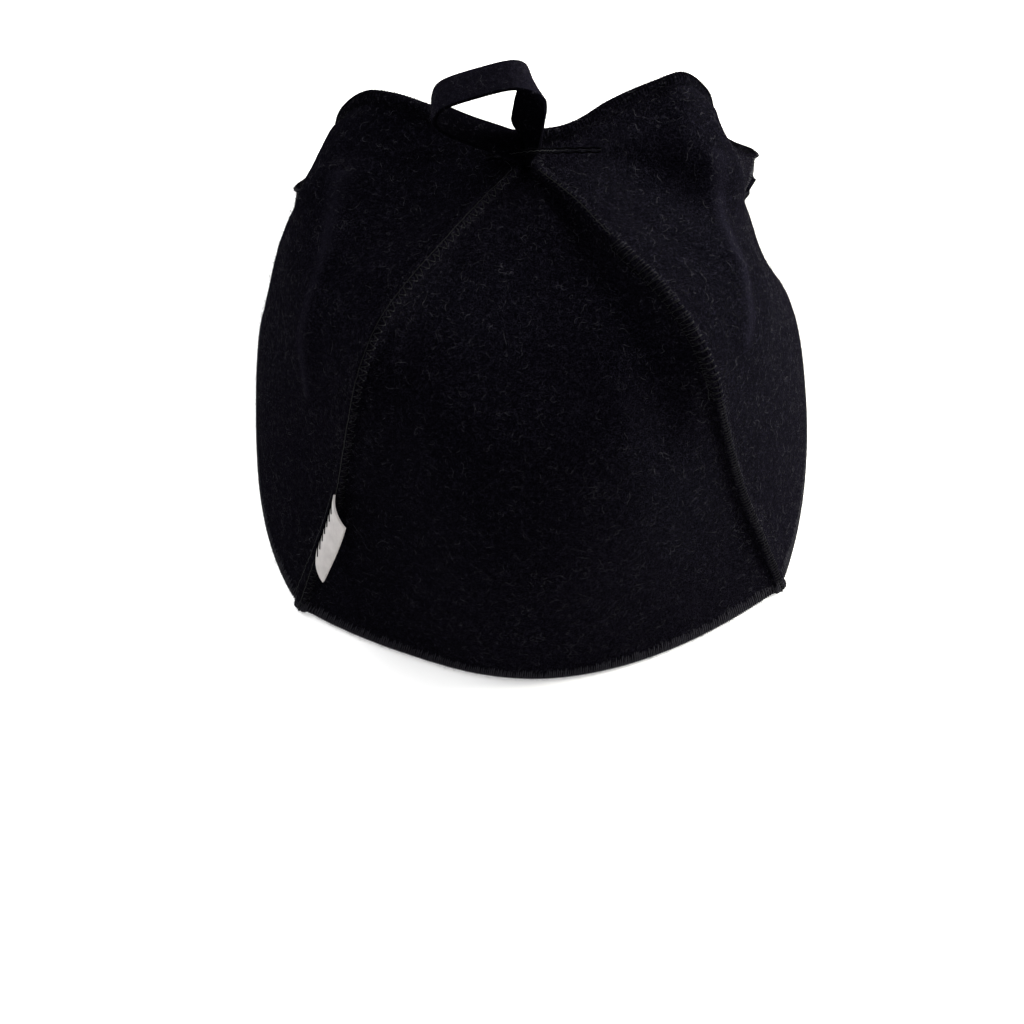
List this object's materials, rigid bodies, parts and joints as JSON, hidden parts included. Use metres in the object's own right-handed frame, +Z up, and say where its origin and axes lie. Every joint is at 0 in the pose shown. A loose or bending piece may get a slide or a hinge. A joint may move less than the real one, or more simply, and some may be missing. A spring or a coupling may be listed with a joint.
{
  "type": "sauna hat",
  "caption": "Soft felt sauna hat of equal petals sewn edge to edge with raised seams, lobed at the shoulders, with a strap loop on top and a small bare tag in one seam.",
  "frame": {"origin": "middle of the overall box in plan, on the plane that the rim rests on", "axes": "+Z up through the crown, -Y towards the front gore, +X to the right as the front gore is looked at"},
  "size_m": [0.1844, 0.2232, 0.1858],
  "materials": {
    "felt": "matt near-black wool felt",
    "woven_tag": "matt cream woven tape"
  },
  "bodies": {
    "root": {"gore_front": "felt", "gore_right": "felt", "gore_back": "felt", "gore_left": "felt", "hanging_loop": "felt", "label": "woven_tag"}
  },
  "joints": []
}
